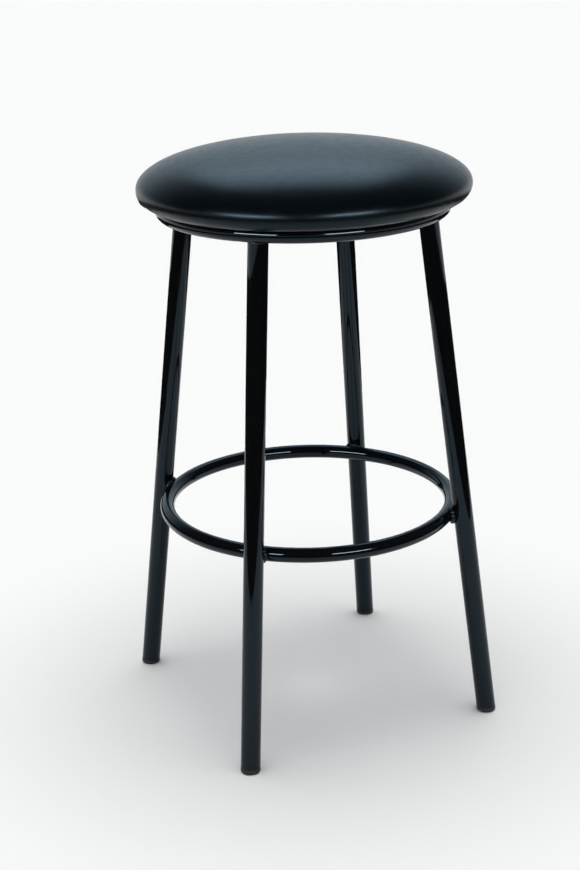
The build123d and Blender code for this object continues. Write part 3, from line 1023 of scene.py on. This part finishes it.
def leg_top_path(bead):
    """Open path below the hoop round the outer side of the right leg's top, equally far from both tubes."""
    path = []
    gap = BEAD_LIFT * bead
    steps = np.linspace(HOOP_LOW.z - SEARCH_BELOW_HOOP, HOOP_Z + SEARCH_ABOVE_MIDDLE, SEARCH_STEPS)
    for k in range(-LEG_BEAD_STEPS, LEG_BEAD_STEPS + 1):
        turn = LEG_BEAD_ARC * k / LEG_BEAD_STEPS
        foot = LEG_FOOT + (LEG_RADIUS + gap) * (cos(turn) * LEG_OUT + sin(turn) * LEG_SIDE)

        def into_hoop(height):
            point = foot + LEG_LINE * height
            return HOOP_TUBE + gap - Vector((point.xy.length - HOOP_RADIUS, point.z - HOOP_Z)).length

        found = [h for h in steps if into_hoop(h) > 0]
        if found:
            path.append(foot + LEG_LINE * crossing(into_hoop, steps[0], found[0]))
    return path


def lug_path():
    """Open path in the corner below a lug at angle 0, along the hoop."""
    drop = HOOP_Z - LUG_LOW.z
    root = HOOP_RADIUS - sqrt(HOOP_TUBE ** 2 - drop ** 2) - LUG_BEAD_SETBACK
    half = (LUG_WIDTH / 2 - LUG_BEAD_END_GAP) / root
    shares = [k / LUG_BEAD_STEPS for k in range(-LUG_BEAD_STEPS, LUG_BEAD_STEPS + 1)]
    return [around(root, half * share, LUG_LOW.z - LUG_BEAD_SETBACK) for share in shares]


class STOOL_OT_welds(bpy.types.Operator):
    """Runs the weld beads of the foot ring, the leg tops and the lugs"""

    bl_idname = "stool.welds"
    bl_label = "Weld beads"
    bl_options = {"REGISTER", "UNDO"}

    def execute(self, context):
        sizes = context.scene.stool_sizes
        paint = finish_for(gloss_paint, context.scene.stool_colours)
        tree = weld_bead_tree()
        loops = [foot_ring_path(sizes.ring_bead, fullness) for fullness in RING_BEAD_FULLNESS]
        ring = [turned_to(loop[0], a) for loop, a in zip(loops, LEG_ANGLES)]
        fullness = [loop[1] for loop in loops]
        tops = [turned_to(leg_top_path(sizes.hoop_bead), a) for a in LEG_ANGLES]
        lugs = [turned_to(lug_path(), a) for a in LUG_ANGLES]
        runs = (
            ("foot_ring_beads", ring, fullness, sizes.ring_bead, 1.0, "foot_ring_welds"),
            ("leg_top_beads", tops, None, sizes.hoop_bead, BEAD_END_SIZE, "leg_top_welds"),
            ("lug_beads", lugs, None, sizes.lug_bead, BEAD_END_SIZE, "lug_welds"),
        )
        for name, paths, shares, radius, end, node in runs:
            if min(len(path) for path in paths) < FEWEST_BEAD_POINTS:
                raise RuntimeError(f"no path for {name}")
            values = {
                "Bead Radius": radius,
                "Ripple Pitch": sizes.ripple_pitch,
                "Ripple Share": RIPPLE_SHARE,
                "End Size": end,
                "Unevenness": BEAD_UNEVENNESS,
                "Finish": paint,
            }
            mesh = grow(path_mesh(name, paths, shares is not None, shares), tree, values)
            add_piece(name, mesh, paint, [node])
        return {"FINISHED"}


def ring_mesh(name, rings, capped, sharp_angle):
    """A mesh of quads from ring to ring, capped at both ends or closed from the last ring to the first."""
    count = len(rings[0])
    points = [p for ring in rings for p in ring]
    pairs = [(k, k + 1) for k in range(len(rings) - 1)]
    if not capped:
        pairs.append((len(rings) - 1, 0))
    faces = []
    for a, b in pairs:
        for step in range(count):
            after = (step + 1) % count
            faces.append((a * count + step, b * count + step, b * count + after, a * count + after))
    if capped:
        last = (len(rings) - 1) * count
        faces += [tuple(range(count)), tuple(range(last, last + count))]
    return closed_mesh(name, points, faces, sharp_angle)


def hex_bolt_mesh():
    """One hex bolt, head down: flats with the curved edge that a turned chamfer leaves, and a plain shank."""
    face = BOLT_HEAD_FLATS * BOLT_FACE_SHARE
    shank = BOLT_HIGH.z - WASHER_LOW.z
    rings = [[], [], [], [], []]
    for k in range(FASTENER_SIDES):
        angle = 2 * pi * k / FASTENER_SIDES
        corner = BOLT_HEAD_FLATS / 2 / cos(angle % (pi / 3) - pi / 6)
        drop = (corner - face) * tan(BOLT_CHAMFER)
        rings[0].append(around(face, angle, -BOLT_HEAD_HEIGHT))
        rings[1].append(around(corner, angle, drop - BOLT_HEAD_HEIGHT))
        rings[2].append(around(corner, angle, 0))
        rings[3].append(around(BOLT_RADIUS, angle, 0))
        rings[4].append(around(BOLT_RADIUS, angle, shank))
    return ring_mesh("hex_bolt", rings, capped=True, sharp_angle=radians(25))


def washer_mesh():
    """One flat washer with its edges broken."""
    high = WASHER_HIGH.z - WASHER_LOW.z
    hole, rim, broken = BOLT_RADIUS + WASHER_CLEARANCE, WASHER_RADIUS, WASHER_BREAK
    section = (
        (hole, broken), (hole + broken, 0), (rim - broken, 0), (rim, broken),
        (rim, high - broken), (rim - broken, high), (hole + broken, high), (hole, high - broken),
    )
    angles = [2 * pi * k / FASTENER_SIDES for k in range(FASTENER_SIDES)]
    rings = [[around(r, a, z) for a in angles] for r, z in section]
    return ring_mesh("washer", rings, capped=False, sharp_angle=radians(30))


class STOOL_OT_fasteners(bpy.types.Operator):
    """Makes the bolts and washers that hold the seat to the lugs"""

    bl_idname = "stool.fasteners"
    bl_label = "Bolts and washers"
    bl_options = {"REGISTER", "UNDO"}

    def execute(self, context):
        zinc = finish_for(zinc_plate, context.scene.stool_colours)
        seed = context.scene.stool_sizes.staple_seed
        places = [around(BOLT_CIRCLE, angle, WASHER_LOW.z) for angle in LUG_ANGLES]
        bolts = set_out(hex_bolt_mesh(), places, pi, seed, zinc)
        add_piece("seat_hex_bolts", bolts, zinc, ["seat_bolts"])
        washers = set_out(washer_mesh(), places, 0.0, seed, zinc)
        add_piece("seat_flat_washers", washers, zinc, ["seat_washers"])
        return {"FINISHED"}


class STOOL_OT_glides(bpy.types.Operator):
    """Finishes the plastic glides in the leg ends"""

    bl_idname = "stool.glides"
    bl_label = "Glides"
    bl_options = {"REGISTER", "UNDO"}

    def execute(self, context):
        plastic = finish_for(moulded_polyethylene, context.scene.stool_colours)
        dress([f"{name}_glide" for name in LEG_NAMES], plastic)
        return {"FINISHED"}


def matt_stage(name, shade):
    """A material of one colour with no gloss for the studio, with its tree and its shader."""
    material, tree, shader, _ = new_material(name)
    values = {"Base Color": [*shade, 1], "Roughness": 1.0, "Specular IOR Level": 0.0}
    finish_shader(tree, shader, {}, values)
    return material, tree, shader


def studio_paper(colours):
    """Seamless white studio paper, matt all over; from below it is clear, so that the underside shows."""
    material, tree, shader = matt_stage("studio_paper", colours.floor)
    below = add_node(tree, "ShaderNodeNewGeometry").outputs["Backfacing"]
    clear = add_node(tree, "ShaderNodeBsdfTransparent").outputs["BSDF"]
    sides = {"Fac": below, "Shader": shader.outputs["BSDF"], "Shader_001": clear}
    seen = add_node(tree, "ShaderNodeMixShader", sides).outputs["Shader"]
    tree.links.new(seen, tree.nodes["Material Output"].inputs["Surface"])
    return material


def screen_felt(colours):
    """Black felt, matt all over."""
    return matt_stage("black_felt", colours.screen)[0]


def add_stage(name, points, faces, material):
    """A piece of the studio, which is no part of the stool."""
    mesh = bpy.data.meshes.new(name)
    mesh.from_pydata([tuple(p) for p in points], [], faces)
    mesh.materials.append(material)
    piece = bpy.data.objects.new(name, mesh)
    bpy.context.scene.collection.objects.link(piece)
    return piece


def add_screens(colours):
    """Black screens that studios set for black gloss: one round the stool, one before the seat's front edge.

    The first shows only in reflections, and is highest towards the camera and lowest behind the stool. The
    second is a flag that keeps the front panels' light off the top of the seat.
    """
    felt = screen_felt(colours)
    sides = STAGE_SIDES
    angles = [2 * pi * k / sides for k in range(sides + 1)]
    front = CAMERA_YAW - pi / 2
    tops = [SCREEN_LOW + (SCREEN_HIGH - SCREEN_LOW) * (1 + cos(a - front)) / 2 for a in angles]
    points = [around(SCREEN_REACH, a, 0) for a in angles]
    points += [around(SCREEN_REACH, a, top) for a, top in zip(angles, tops)]
    faces = [(k, k + 1, sides + k + 2, sides + k + 1) for k in range(sides)]
    screen = add_stage("black_screen", points, faces, felt)
    first, last = (radians(end - 90) for end in FLAG_ENDS)
    angles = [first + (last - first) * k / sides for k in range(sides + 1)]
    points = [around(FLAG_REACH, a, z) for z in FLAG_EDGES for a in angles]
    flag = add_stage("black_flag", points, faces, felt)
    for card in (screen, flag):
        card.visible_camera = False
        card.visible_diffuse = False
    screen.visible_shadow = False


def studio_world():
    """A dim room, paler behind the stool up to half height, with a pale wall just above the floor."""
    world = bpy.data.worlds.new("studio")
    world.use_nodes = True
    tree = world.node_tree
    toward = add_node(tree, "ShaderNodeTexCoord").outputs["Generated"]
    height = add_node(tree, "ShaderNodeSeparateXYZ", {"Vector": toward}).outputs["Z"]
    low = spread(tree, height, *GLOW_SINES, 1.0, 0.0)
    aim = {"Vector": toward, "Vector_001": around(1.0, GLOW_ANGLE, 0.0)}
    facing = add_node(tree, "ShaderNodeVectorMath", aim, operation="DOT_PRODUCT").outputs["Value"]
    behind = spread(tree, facing, *GLOW_COSINES, 0.0, 1.0)
    shade = mix_colours(tree, calculate(tree, "MULTIPLY", low, behind), ROOM_DIM, ROOM_PALE)
    wall = spread(tree, height, *WALL_SINES, 1.0, 0.0)
    room = mix_colours(tree, wall, shade, ROOM_WALL)
    tree.links.new(room, tree.nodes["Background"].inputs["Color"])
    bpy.context.scene.world = world


def add_lamp(name, kind, place, energy, **settings):
    """A lamp aimed at the middle of the stool."""
    lamp = bpy.data.lights.new(name, kind)
    lamp.energy = energy
    for key, value in settings.items():
        setattr(lamp, key, value)
    holder = bpy.data.objects.new(name, lamp)
    bpy.context.scene.collection.objects.link(holder)
    holder.location = place
    holder.rotation_euler = (LAMP_AIM - place).to_track_quat("-Z", "Y").to_euler()
    return holder


def place_camera():
    """Camera at the photo's place, with the photo's slight roll."""
    camera = bpy.data.cameras.new("photo_camera")
    camera.lens = CAMERA_LENS
    camera.clip_end = CAMERA_RANGE
    holder = bpy.data.objects.new("photo_camera", camera)
    bpy.context.scene.collection.objects.link(holder)
    flat = cos(CAMERA_PITCH)
    forward = Vector((-sin(CAMERA_YAW) * flat, cos(CAMERA_YAW) * flat, -sin(CAMERA_PITCH)))
    right = forward.cross(Vector((0, 0, 1))).normalized()
    up = right.cross(forward)
    side = cos(CAMERA_ROLL) * right + sin(CAMERA_ROLL) * up
    top = cos(CAMERA_ROLL) * up - sin(CAMERA_ROLL) * right
    turn = Matrix((side, top, -forward)).transposed().to_4x4()
    holder.matrix_world = Matrix.Translation(CAMERA_PLACE) @ turn
    bpy.context.scene.camera = holder


class STOOL_OT_stage(bpy.types.Operator):
    """Sets the floor, the screens, the lamps, the surroundings and the camera"""

    bl_idname = "stool.stage"
    bl_label = "Studio"
    bl_options = {"REGISTER", "UNDO"}

    def execute(self, context):
        colours = context.scene.stool_colours
        rim = [around(FLOOR_REACH, 2 * pi * k / STAGE_SIDES, -FLOOR_DROP) for k in range(STAGE_SIDES)]
        add_stage("studio_floor", rim, [tuple(range(STAGE_SIDES))], studio_paper(colours))
        add_screens(colours)
        studio_world()
        for name, azimuth, rise, distance, width, high, power, tint in PANELS:
            level = distance * cos(radians(rise))
            place = around(level, radians(azimuth - 90), HOOP_HIGH.z + distance * sin(radians(rise)))
            form = {"shape": "RECTANGLE", "size": width, "size_y": high, "color": tint}
            panel = add_lamp(name, "AREA", place, power, **form)
            panel.visible_camera = False
            panel.visible_diffuse = False
        sun = add_lamp("ceiling_light", "SUN", SUN_PLACE, SUN_STRENGTH, angle=SUN_SPREAD, color=SUN_TINT)
        sun.visible_glossy = False
        place_camera()
        context.scene.view_settings.view_transform = "Standard"
        return {"FINISHED"}


OPERATORS = (
    STOOL_OT_cushion,
    STOOL_OT_board,
    STOOL_OT_dust_cloth,
    STOOL_OT_paint,
    STOOL_OT_welds,
    STOOL_OT_fasteners,
    STOOL_OT_glides,
    STOOL_OT_stage,
)


class STOOL_PT_panel(bpy.types.Panel):
    """Lists the stool's operators and their settings"""

    bl_idname = "STOOL_PT_panel"
    bl_label = "Bar Stool"
    bl_space_type = "VIEW_3D"
    bl_region_type = "UI"
    bl_category = "Stool"

    def draw(self, context):
        layout = self.layout
        for operator in OPERATORS:
            layout.operator(operator.bl_idname)
        for group in (context.scene.stool_sizes, context.scene.stool_colours):
            box = layout.box()
            for key in group.__annotations__:
                box.prop(group, key)


CLASSES = (StoolSizes, StoolColours, *OPERATORS, STOOL_PT_panel)


def register():
    """Registers the classes and adds the settings to the scene."""
    for cls in CLASSES:
        bpy.utils.register_class(cls)
    bpy.types.Scene.stool_sizes = PointerProperty(type=StoolSizes)
    bpy.types.Scene.stool_colours = PointerProperty(type=StoolColours)


def unregister():
    """Takes the settings and the classes away again."""
    del bpy.types.Scene.stool_colours
    del bpy.types.Scene.stool_sizes
    for cls in reversed(CLASSES):
        bpy.utils.unregister_class(cls)


def main():
    """Registers the add-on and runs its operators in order."""
    register()
    bpy.ops.stool.cushion()
    bpy.ops.stool.board()
    bpy.ops.stool.dust_cloth()
    bpy.ops.stool.paint()
    bpy.ops.stool.welds()
    bpy.ops.stool.fasteners()
    bpy.ops.stool.glides()
    bpy.ops.stool.stage()


if __name__ == "__main__":
    main()
